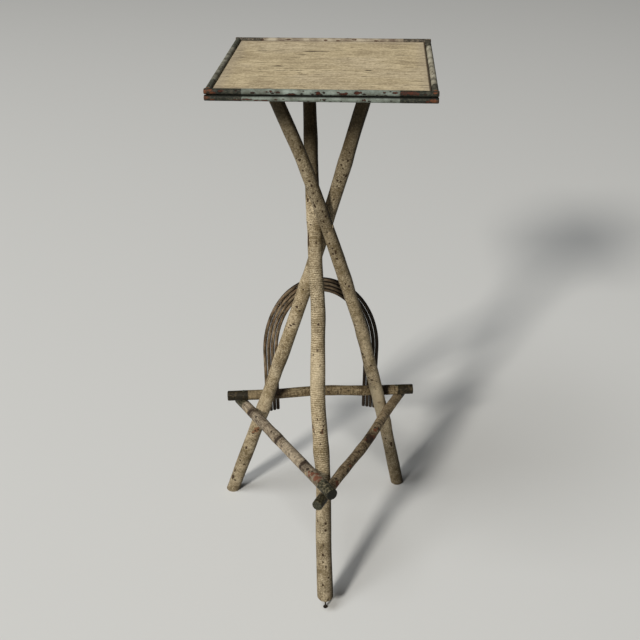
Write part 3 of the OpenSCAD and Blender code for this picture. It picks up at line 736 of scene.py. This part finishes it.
def addStick(name, nodeName, values, line, radii):
    if values.get("bevelled", True):
        # the rings of the CAD's bevels are left out, and the ends keep the full radius
        line = [line[0]] + line[2:-2] + [line[-1]]
        radii = [radii[1]] + radii[2:-2] + [radii[-2]]
    finer = sweepValues["finer"]
    fine = finer * (len(line) - 1)
    path = [eased(line, i / finer) for i in range(fine + 1)]
    reach = [0.0]
    for a, b in zip(path, path[1:]):
        reach.append(reach[-1] + (b - a).length)
    length = reach[-1]
    wear = values["wear"]
    side = Vector(values["side"])
    seed = values["seed"]
    sides = values["sides"]
    oval = values.get("oval", 1)
    levelled = values.get("levelled", 0)
    bandAtStart, bandAtEnd = values.get("bands", (-1, -1))
    mesh = bmesh.new()
    turnLayer = mesh.verts.layers.int.new("turn")
    stickLayer = mesh.verts.layers.float_vector.new("stick")
    floats = {
        key: mesh.verts.layers.float.new(key) for key in ("ends", "band", "mark", "red", "shade")
    }
    ring = bmesh.ops.create_circle(mesh, cap_ends=False, segments=sides, radius=1)["verts"]
    for i, v in enumerate(ring):
        v[turnLayer] = i
    poles = [ring]
    edges = list(mesh.edges)
    at = 0
    for row, (along, share) in enumerate(stations(length, values["step"], wear, sweepValues)):
        if row:
            grown = bmesh.ops.extrude_edge_only(mesh, edges=edges)["geom"]
            ring = [g for g in grown if isinstance(g, bmesh.types.BMVert)]
            fresh = set(ring)
            edges = [
                g for g in grown if isinstance(g, bmesh.types.BMEdge) and fresh.issuperset(g.verts)
            ]
        while at < fine - 1 and reach[at + 1] < along:
            at += 1
        place = (at + (along - reach[at]) / (reach[at + 1] - reach[at])) / finer
        middle = eased(line, place)
        after = min(place + sweepValues["slopeReach"], len(line) - 1)
        before = max(place - sweepValues["slopeReach"], 0)
        slope = eased(line, after) - eased(line, before)
        slope.normalize()
        e = side.cross(slope).normalized()
        f = slope.cross(e)
        radius = eased(radii, place)
        inner = share if share > 0 else 1 + share * wear / radius
        near = {
            key: [
                spot for spot in values.get(key, ())
                if abs(along - spot[0]) < spot[2] * sweepValues["spotReach"]
            ]
            for key in ("mark", "red")
        }
        if "hoops" in values:
            band = between(values["hoops"], along)
        else:
            band = max(bandAtStart - along, bandAtEnd - (length - along))
        shade = between(values.get("shade", ()), along)
        level = levelled * max(0, 1 - min(along, length - along) / sweepValues["levelReach"])
        for v in ring:
            turn = 2 * math.pi * v[turnLayer] / sides
            c, s = math.cos(turn), math.sin(turn)
            r = radius * inner * (1 + swelling(values, along, turn, c, s, radius, seed))
            reached = e * r * c + f * r * oval * s
            if level:
                reached -= slope * (reached.z / slope.z) * level
            if inner < sweepValues["capEdge"]:
                lift = values["dish"] * (1 - inner) * (1 if along < length / 2 else -1)
                uneven = noise.noise(Vector((c, s, inner * 3 + seed)) * 2.5)
                lift += sweepValues["capRough"] * uneven
                reached += slope * lift
            v.co = middle + reached
            v[stickLayer] = (along + seed, r * c, r * s)
            v[floats["ends"]] = min(along, length - along)
            v[floats["band"]] = band
            for key, spots in near.items():
                v[floats[key]] = spotted(spots, along, turn, radius)
            # painted shade and light along the stick, plus the lines of painted shade down one of
            # its sides
            v[floats["shade"]] = shade + sum(
                strength * max(0, 1 - abs(turned(turn, angle)) / math.radians(half))
                for angle, half, strength in values.get("shadeLines", ())
            )
    poles.append(ring)
    for pole in poles:
        centre = sum((v.co for v in pole), Vector()) / len(pole)
        bmesh.ops.pointmerge(mesh, verts=pole, merge_co=centre)
    bmesh.ops.recalc_face_normals(mesh, faces=mesh.faces)
    for face in mesh.faces:
        face.smooth = True
    piece = addObject(name, mesh, materials[values["paint"]])
    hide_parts(nodeName)
    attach(piece, "root")
    return piece


legValues = {
    "slot": "leg_paint", "paint": "leg", "outward": (0, 0, -1), "side": (0, 1, 0),
    "sides": 72, "step": 0.0016, "wear": 0.0014, "dish": 0.0002, "uneven": 0.02, "levelled": 1,
    # painted shade down the right side of each leg
    "shadeLines": [(8, 64, 0.7)],
}
stretcherValues = {
    "slot": "stretcher_bark", "side": (0, 0, 1), "sides": 56, "step": 0.0018, "wear": 0.0013,
    "dish": 0.0002, "uneven": 0.02,
}
# metres along from the start. mark and red are spots: distance along, turn in degrees, half
# length, half width; knots: distance along, turn, height, spread; hoops and shade: distance
# along, value, the shade being painted shade above 0 and painted light below 0; lines of
# painted shade down one side: turn, half width in degrees, strength; bands: lengths of the
# dark ends
stickValues = {
    "frontLeg": {
        **legValues, "node": "leg_front", "seed": 1.7, "rough": 0.008,
        "knots": [(0.24, 200, 0.05, 0.012), (0.455, 40, 0.04, 0.014), (0.6, 150, 0.05, 0.012)],
        "hoops": [(0, 0.25), (0.16, 0.3), (0.22, 0.9), (0.52, 1.0), (0.55, 0.4), (0.84, 0.3)],
        # shade: the board's painted shadow on the leg's top, painted shade and painted light below
        # it
        "shade": [
            (0.017, 0.4), (0.063, 0.32), (0.13, 0.34), (0.19, 0.12), (0.258, -0.04), (0.31, -0.02),
            (0.36, -0.4), (0.416, 0.04), (0.478, 0.14), (0.57, 0.14), (0.61, -0.05), (0.635, 0.1),
            (0.661, 0.72), (0.7, 0.79), (0.73, 0.86), (0.76, 0.93),
        ],
        "mark": [
            (0.6328, 231, 0.003, 0.0018), (0.5985, 204, 0.0018, 0.0012),
            (0.5949, 246, 0.0009, 0.0011), (0.5715, 214, 0.0098, 0.0019),
            (0.5675, 285, 0.0018, 0.0011), (0.4007, 269, 0.0019, 0.0014),
            (0.3933, 239, 0.0016, 0.0011), (0.3767, 291, 0.0012, 0.0012),
            (0.4413, 274, 0.0015, 0.0014), (0.2884, 308, 0.0014, 0.0009),
            (0.2791, 215, 0.0035, 0.0013), (0.2714, 226, 0.0031, 0.0013),
            (0.2805, 306, 0.002, 0.0013), (0.2751, 300, 0.0019, 0.0016),
            (0.2707, 289, 0.0016, 0.0027), (0.2918, 265, 0.0011, 0.0012),
            (0.2526, 274, 0.0013, 0.0013), (0.124, 290, 0.0019, 0.0017),
            (0.1125, 290, 0.0021, 0.0017), (0.0882, 272, 0.0025, 0.0008),
            (0.0727, 268, 0.0017, 0.0021), (0.0611, 266, 0.0016, 0.001),
            (0.0532, 287, 0.0019, 0.0014), (0.0348, 304, 0.0016, 0.0014),
            (0.0241, 261, 0.0014, 0.0018), (0.1266, 221, 0.0019, 0.0008),
            (0.0035, 294, 0.0013, 0.001),
        ],
        "red": [
            (0.5715, 214, 0.0084, 0.0012), (0.2721, 294, 0.0038, 0.0022),
            (0.2738, 224, 0.0041, 0.0013),
        ],
    },
    "backRightLeg": {
        **legValues, "node": "leg_back_right", "seed": 6.1, "rough": 0.01,
        "knots": [(0.17, 120, 0.05, 0.012), (0.38, 250, 0.05, 0.013), (0.5, 60, 0.05, 0.012)],
        "hoops": [(0, 0.25)],
        # shade: the board's painted shadow on the leg's top, painted shade and painted light below
        # it
        "shade": [
            (0.02, 0.46), (0.04, 0.42), (0.1, 0.4), (0.14, 0.15), (0.2, -0.5), (0.235, -0.8),
            (0.28, -0.1), (0.32, 0.02), (0.39, -0.16), (0.48, 0.08), (0.55, 0.2), (0.617, 0.5),
            (0.65, 0.42), (0.694, 0.31), (0.725, 0.3), (0.75, 0.48), (0.775, 0.66), (0.8, 0.82),
            (0.82, 0.9),
        ],
        "mark": [
            (0.7488, 308, 0.0026, 0.0013), (0.7302, 258, 0.0013, 0.0027),
            (0.7332, 233, 0.001, 0.0011), (0.7121, 253, 0.0014, 0.0014),
            (0.6927, 273, 0.0012, 0.002), (0.6852, 277, 0.001, 0.0015),
            (0.6808, 241, 0.001, 0.0015), (0.6825, 276, 0.0012, 0.0013),
            (0.6704, 268, 0.0018, 0.0012), (0.6631, 223, 0.001, 0.0013),
            (0.656, 280, 0.0018, 0.0013), (0.648, 240, 0.0033, 0.0018),
            (0.6544, 238, 0.0013, 0.0012), (0.6358, 289, 0.0018, 0.0012),
            (0.6255, 301, 0.0018, 0.0018), (0.6184, 268, 0.0021, 0.0014),
            (0.6198, 244, 0.0015, 0.0011), (0.6092, 239, 0.0015, 0.0011),
            (0.5981, 264, 0.0015, 0.0012), (0.5766, 250, 0.0015, 0.0014),
            (0.5667, 261, 0.0012, 0.0015), (0.5607, 281, 0.0014, 0.0014),
            (0.5572, 275, 0.0012, 0.0017), (0.5562, 250, 0.0019, 0.0017),
            (0.5463, 269, 0.0017, 0.0017), (0.4883, 296, 0.0024, 0.0017),
            (0.4948, 271, 0.0016, 0.0011), (0.407, 228, 0.0026, 0.0015),
            (0.392, 214, 0.0022, 0.0012), (0.3901, 257, 0.0015, 0.0013),
            (0.3405, 224, 0.0022, 0.0024), (0.3335, 236, 0.0017, 0.0015),
            (0.3269, 191, 0.002, 0.0012), (0.3136, 284, 0.0022, 0.0015),
            (0.2852, 232, 0.0022, 0.0019), (0.2803, 259, 0.0026, 0.0024),
            (0.2709, 235, 0.0017, 0.0016), (0.2632, 264, 0.0019, 0.0016),
            (0.274, 299, 0.0017, 0.0012), (0.258, 273, 0.0016, 0.0014),
            (0.1312, 252, 0.0016, 0.0016), (0.1141, 298, 0.0055, 0.0018),
            (0.0922, 235, 0.0015, 0.0013),
        ],
    },
    "backLeftLeg": {
        **legValues, "node": "leg_back_left", "seed": 11.3, "rough": 0.01,
        "knots": [(0.21, 300, 0.05, 0.012), (0.35, 100, 0.05, 0.013), (0.49, 190, 0.05, 0.012)],
        "hoops": [(0, 0.25)],
        # shade: the board's painted shadow on the leg's top, painted shade and painted light below
        # it
        "shade": [
            (0.02, 0.3), (0.046, 0.24), (0.138, 0.2), (0.2, 0), (0.238, -0.2), (0.27, 0),
            (0.305, 0.18), (0.37, 0), (0.455, 0), (0.56, 0.15), (0.65, 0.36), (0.7, 0.46),
            (0.73, 0.64), (0.749, 0.76), (0.79, 0.91),
        ],
        "mark": [
            (0.7312, 279, 0.0013, 0.0013), (0.7179, 284, 0.0016, 0.0016),
            (0.7168, 245, 0.001, 0.0012), (0.7086, 244, 0.0015, 0.0018),
            (0.7041, 263, 0.001, 0.0013), (0.6943, 286, 0.0015, 0.0013),
            (0.6934, 308, 0.0021, 0.0022), (0.6823, 250, 0.0015, 0.0018),
            (0.6823, 275, 0.0016, 0.0016), (0.6738, 260, 0.0012, 0.0012),
            (0.672, 279, 0.001, 0.0013), (0.6637, 316, 0.0011, 0.0011),
            (0.6509, 267, 0.0012, 0.0009), (0.4461, 249, 0.002, 0.0023),
            (0.4402, 285, 0.0013, 0.002), (0.4547, 276, 0.0015, 0.0011),
            (0.4075, 251, 0.0015, 0.0028), (0.4116, 273, 0.0015, 0.0025),
            (0.4018, 242, 0.0013, 0.0015), (0.4822, 259, 0.0016, 0.0011),
            (0.1651, 268, 0.0016, 0.0016), (0.1702, 288, 0.0016, 0.0018),
            (0.1575, 256, 0.0016, 0.0016), (0.1194, 245, 0.0029, 0.002),
            (0.0792, 282, 0.0017, 0.002), (0.0837, 237, 0.002, 0.0017),
            (0.0528, 219, 0.0037, 0.0017), (0.036, 223, 0.0049, 0.003),
            (0.0328, 256, 0.0022, 0.0019), (0.0919, 321, 0.0028, 0.0013),
        ],
        "red": [
            (0.1665, 275, 0.0047, 0.0039), (0.17, 262, 0.003, 0.003), (0.16, 252, 0.0026, 0.0026),
            (0.174, 284, 0.0026, 0.0026),
        ],
    },
    "backStretcher": {
        **stretcherValues, "node": "stretcher_back", "paint": "barkback",
        "outward": (-1, 0, 0), "seed": 21.9, "rough": 0.012, "bands": (0.0373, 0.0272),
        # shade: painted shade beside the legs and painted light along the stretcher
        "shade": [
            (0.045, -0.35), (0.062, -0.2), (0.07, 0.2), (0.088, 0.6), (0.1, 0.45), (0.112, 0.1),
            (0.15, 0), (0.272, 0), (0.276, 0.6), (0.286, 0.6), (0.289, 0),
        ],
        "mark": [
            (0.0947, 102, 0.0075, 0.0039), (0.09, 133, 0.0044, 0.0044),
            (0.281, 138, 0.003, 0.0078), (0.0409, 104, 0.0014, 0.0018),
            (0.0622, 136, 0.0014, 0.0016), (0.15, 120, 0.002, 0.0014),
            (0.215, 150, 0.0022, 0.0012), (0.25, 110, 0.0018, 0.0014), (0.18, 165, 0.002, 0.0012),
        ],
    },
    "leftStretcher": {
        **stretcherValues, "node": "stretcher_left", "paint": "barkleft",
        "outward": (0.66, -0.75, 0), "seed": 27.3, "rough": 0.014, "bands": (0.033, 0.0315),
        # shade: painted shade and painted light along the stretcher, and darker zones around its
        # knots
        "shade": [
            (0.03, 0.3), (0.05, 0.35), (0.074, 0.35), (0.081, 0.7), (0.092, 0.7), (0.097, 0.05),
            (0.112, -0.3), (0.15, -0.25), (0.17, 0.0), (0.177, 0.55), (0.186, 0.5), (0.192, 0.15),
            (0.24, 0.28), (0.276, 0.32), (0.283, 0.65), (0.295, 0.6), (0.299, 0.15), (0.31, 0.1),
            (0.32, 0.4),
        ],
        "mark": [
            (0.2941, 359, 0.0028, 0.0042), (0.2878, 73, 0.0021, 0.0032),
            (0.1818, 7, 0.0025, 0.004), (0.1794, 57, 0.003, 0.0056), (0.1817, 101, 0.0023, 0.0033),
            (0.132, 27, 0.0029, 0.0023), (0.1307, 64, 0.0019, 0.0016), (0.1437, 13, 0.002, 0.0013),
            (0.0911, 15, 0.0029, 0.0035), (0.0902, 67, 0.0038, 0.0051),
            (0.0944, 120, 0.0025, 0.0032), (0.0682, 332, 0.0031, 0.0016),
            (0.0613, 79, 0.0019, 0.0016), (0.2576, 16, 0.0017, 0.0017),
            (0.2337, 353, 0.002, 0.0012), (0.2895, 40, 0.004, 0.005), (0.18, 30, 0.003, 0.005),
            (0.205, 60, 0.002, 0.0022), (0.265, 50, 0.0025, 0.002), (0.16, 30, 0.0022, 0.0018),
            (0.115, 50, 0.0022, 0.002), (0.072, 60, 0.003, 0.003),
        ],
        "red": [
            (0.0564, 62, 0.004, 0.0037), (0.043, 56, 0.0053, 0.0049), (0.0324, 60, 0.0034, 0.0034),
            (0.0648, 48, 0.0025, 0.0025), (0.05, 100, 0.0035, 0.0035), (0.06, 20, 0.003, 0.0025),
            (0.039, 95, 0.003, 0.003),
        ],
    },
    "rightStretcher": {
        **stretcherValues, "node": "stretcher_right", "paint": "barkright",
        "outward": (0.5, 0.86, 0), "seed": 33.7, "rough": 0.014, "bands": (0.019, 0.0205),
        # shade: painted light near the back end, painted shade further on, and a dark patch of the
        # bark
        "shade": [
            (0.02, -0.3), (0.06, -0.3), (0.1, -0.15), (0.13, 0), (0.153, 0.2), (0.163, 0.45),
            (0.174, 0.45), (0.184, 0.25), (0.2, 0.3), (0.25, 0.28), (0.33, 0.25),
        ],
        "mark": [
            (0.0893, 47, 0.0017, 0.0045), (0.0757, 44, 0.0014, 0.0021),
            (0.1326, 27, 0.0027, 0.0034), (0.1363, 74, 0.002, 0.0024), (0.1645, 56, 0.005, 0.0047),
            (0.1761, 57, 0.004, 0.0033), (0.1535, 72, 0.002, 0.002), (0.2307, 30, 0.0039, 0.0019),
            (0.2585, 20, 0.0038, 0.0022), (0.2719, 25, 0.0022, 0.0016),
            (0.2454, 51, 0.0016, 0.0013), (0.1605, 95, 0.0045, 0.004), (0.17, 25, 0.0035, 0.0035),
            (0.169, 85, 0.003, 0.003), (0.1655, 35, 0.006, 0.0045), (0.112, 60, 0.0012, 0.006),
            (0.101, 50, 0.001, 0.006), (0.121, 50, 0.0012, 0.006), (0.21, 60, 0.002, 0.002),
            (0.29, 70, 0.0025, 0.0018),
        ],
        "red": [
            (0.1625, 51, 0.0047, 0.0044), (0.2947, 20, 0.0053, 0.005),
            (0.2473, 33, 0.0026, 0.0026), (0.1353, 48, 0.0024, 0.0027), (0.156, 20, 0.004, 0.0035),
            (0.175, 80, 0.0035, 0.003), (0.142, 60, 0.003, 0.003),
        ],
    },
}
archSeeds = {"outer": 41.0, "second": 47.0, "third": 53.0, "inner": 59.0}
for key, seed in archSeeds.items():
    stickValues["archTwig" + key.title()] = {
        "node": "arch_twig_" + key, "slot": "arch_bark", "paint": "arch", "outward": (0, 0, -1),
        "edge": 0.88, "startBelow": 0.25, "side": (0.02, 1, 0.25), "sides": 18, "step": 0.003,
        "wear": 0.0006, "dish": 0.0001, "seed": seed, "uneven": 0.05, "rough": 0.03,
        "bevelled": False,
        # shade: the left foot, in a leg's painted shadow, and painted shade on the crown and right
        # side
        "shade": [
            (0.012, 0.75), (0.03, 0.1), (0.24, 0), (0.36, 0.5), (0.46, 0.85), (0.66, 0.88),
            (0.76, 0.3),
        ],
        # painted shade down two opposite sides of each twig, in the gaps between the nested twigs
        "shadeLines": [(0, 55, 0.9), (180, 55, 0.9)],
    }
edgingSeeds = {
    "front_upper": 61.0, "front_lower": 67.0, "back_upper": 71.0, "back_lower": 73.0,
    "left_upper": 79.0, "left_lower": 83.0, "right_upper": 89.0, "right_lower": 97.0,
}
edgingBands = {
    "front": (0.0495, 0.0505), "back": (0.0435, 0.043), "left": (0.0435, 0.06),
    "right": (0.031, 0.04),
}
edgingSpots = {
    "front_upper": {
        "mark": [
            (0.0644, 187, 0.0033, 0.0015), (0.0834, 167, 0.0015, 0.0013),
            (0.0878, 154, 0.0018, 0.0015), (0.0904, 192, 0.0018, 0.0012),
            (0.0966, 170, 0.0033, 0.0013), (0.1139, 208, 0.0059, 0.0017),
            (0.1277, 197, 0.0024, 0.0015), (0.1295, 140, 0.001, 0.0008),
            (0.135, 247, 0.0018, 0.001), (0.1419, 202, 0.0021, 0.0015),
            (0.1489, 179, 0.0036, 0.0026), (0.1529, 209, 0.0021, 0.0013),
            (0.1563, 164, 0.0013, 0.0019), (0.166, 221, 0.0013, 0.0009),
            (0.175, 161, 0.0015, 0.001), (0.1795, 195, 0.0033, 0.0015),
            (0.185, 173, 0.002, 0.0015), (0.184, 217, 0.0015, 0.0008),
            (0.1987, 174, 0.0033, 0.0026), (0.204, 156, 0.0015, 0.0018),
            (0.2083, 190, 0.0023, 0.0012), (0.2245, 203, 0.0013, 0.0009),
            (0.2338, 152, 0.0015, 0.0011), (0.2359, 201, 0.001, 0.0006),
            (0.2478, 155, 0.0038, 0.0014), (0.2414, 132, 0.001, 0.0008),
            (0.0422, 147, 0.0019, 0.001), (0.0214, 168, 0.0026, 0.0021),
        ],
        "red": [
            (0.0018, 179, 0.0026, 0.0039), (0.0083, 144, 0.0039, 0.0021),
            (0.0121, 196, 0.0052, 0.0018), (0.0227, 151, 0.0034, 0.0015),
            (0.1489, 186, 0.0031, 0.0021), (0.1139, 208, 0.0051, 0.0013),
            (0.1987, 174, 0.0028, 0.002), (0.1815, 185, 0.0044, 0.0013),
            (0.2593, 161, 0.0051, 0.0026), (0.2682, 157, 0.0064, 0.0024),
            (0.2752, 170, 0.0033, 0.0018), (0.2478, 155, 0.0031, 0.001),
            (0.2986, 150, 0.0028, 0.0018),
        ],
        # painted shade on the upper front twig's lower front side, over the gap between the rows
        "shadeLines": [(253, 54, 1.25)],
    },
    "front_lower": {
        "mark": [
            (0.0937, 188, 0.0021, 0.001), (0.1041, 174, 0.0015, 0.0008),
            (0.1247, 213, 0.0026, 0.0009), (0.1363, 215, 0.0018, 0.0008),
            (0.1573, 182, 0.0021, 0.0017), (0.1647, 223, 0.0018, 0.0008),
            (0.1789, 218, 0.0018, 0.0008), (0.208, 177, 0.0024, 0.0017),
            (0.2149, 198, 0.0018, 0.0009), (0.2424, 184, 0.0015, 0.0008),
        ],
        "red": [
            (0.0039, 162, 0.0039, 0.0026), (0.0115, 208, 0.0039, 0.0013),
            (0.0429, 201, 0.0044, 0.001), (0.056, 189, 0.0065, 0.0014),
            (0.0689, 207, 0.0052, 0.0013), (0.0793, 205, 0.0047, 0.0013),
            (0.1078, 224, 0.0034, 0.0009), (0.2085, 172, 0.0018, 0.0013),
            (0.2972, 166, 0.0049, 0.0033), (0.289, 194, 0.0031, 0.0015),
        ],
        # painted shade on the lower twig's top, under the upper row, and on its lower front edge
        "shadeLines": [(108, 46, 1.3), (246, 26, 0.7)],
    },
    "back_upper": {
        "mark": [
            (0.083, 150, 0.004, 0.0012), (0.1857, 142, 0.0037, 0.0012),
            (0.1407, 158, 0.0028, 0.0011), (0.0423, 162, 0.0031, 0.0011),
            (0.1609, 171, 0.0034, 0.0009), (0.2198, 165, 0.0034, 0.0009),
        ],
    },
    "left_upper": {"mark": [(0.1101, 127, 0.002, 0.0008), (0.037, 136, 0.002, 0.0008)]},
    "right_upper": {
        "mark": [
            (0.0944, 74, 0.0016, 0.0012), (0.0786, 73, 0.0014, 0.0011),
            (0.0626, 80, 0.0013, 0.0011), (0.143, 64, 0.0011, 0.0007),
        ],
        # painted shade down the right twig's outer side
        "shadeLines": [(175, 62, 1.0)],
    },
}
for key, seed in edgingSeeds.items():
    side, row = key.split("_")
    isLong = side in ("front", "back")
    stickValues[side + row.title() + "Twig"] = {
        "node": "edging_" + key, "paint": side,
        "slot": "edging_blue" if side in ("front", "right") else "edging_grey",
        "outward": (-1, 0, 0) if isLong else (0, -1, 0), "side": (0, 0, 1),
        "sides": 40, "step": 0.0017, "wear": 0.001, "dish": 0.0001, "seed": seed,
        "uneven": 0.03, "rough": 0.018, "oval": 0.911, "bands": edgingBands[side],
        **edgingSpots.get(key, {}),
    }

for name, values in stickValues.items():
    line, radii = middleLine(values)
    piece = addStick(name, values["node"], values, line, radii)
    print(name, len(line), "rings read,", len(piece.data.polygons), "faces")


def wave(place, height, alongX, alongY, seed):
    return height * noise.noise(Vector((place.x * alongX, place.y * alongY, seed)))


def addBoard(values):
    low, high = (Vector(c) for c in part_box("top_board"))
    cells = values["cells"]
    mesh = bmesh.new()
    bmesh.ops.create_grid(mesh, x_segments=cells, y_segments=cells, size=0.5)
    span = high - low
    shift = Vector(((low.x + high.x) / 2, (low.y + high.y) / 2, low.z))
    bmesh.ops.scale(mesh, vec=(span.x, span.y, 1), verts=mesh.verts)
    bmesh.ops.translate(mesh, vec=shift, verts=mesh.verts)
    top = bmesh.ops.extrude_face_region(mesh, geom=list(mesh.faces))["geom"]
    topVerts = [g for g in top if isinstance(g, bmesh.types.BMVert)]
    bmesh.ops.translate(mesh, vec=(0, 0, span.z), verts=topVerts)
    bmesh.ops.recalc_face_normals(mesh, faces=mesh.faces)
    rims = [e for e in mesh.edges if e.is_manifold and e.calc_face_angle(0) > 1]
    bmesh.ops.bevel(
        mesh, geom=rims, offset=values["bevel"], segments=2, profile=0.5, affect="EDGES",
        material=-1,
    )
    for v in mesh.verts:
        if v.co.z > high.z - 1e-5:
            v.co.z -= values["worn"] + wave(v.co, *values["grooves"])
            v.co.z += wave(v.co, *values["hollows"])
    for face in mesh.faces:
        face.smooth = True
    moved = dict(values, cracks=[
        (x + shift.x, y + shift.y, a, b, c) for x, y, a, b, c in values["cracks"]
    ])
    piece = addObject("topBoard", mesh, boardPaint("boardPaint", moved, low, high))
    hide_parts("top_board")
    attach(piece, "root")


addBoard(boardValues)
print("board made")

# the nails keep their CAD shapes; all but the foot's were painted over with what they hold
nailCoats = {
    "front_foot_nail": "bare", "leg_crossing_nails": "leg", "leg_top_nails": "board",
    "stretcher_nails": "leg", "corner_nails": "band", "arch_nails": "bark",
    "edging_lower_nails": "band", "edging_upper_nails": "band",
}
for nodeName, coat in nailCoats.items():
    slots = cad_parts[nodeName].data.materials
    slots.clear()
    slots.append(materials["nail" + coat])
print("nails finished")
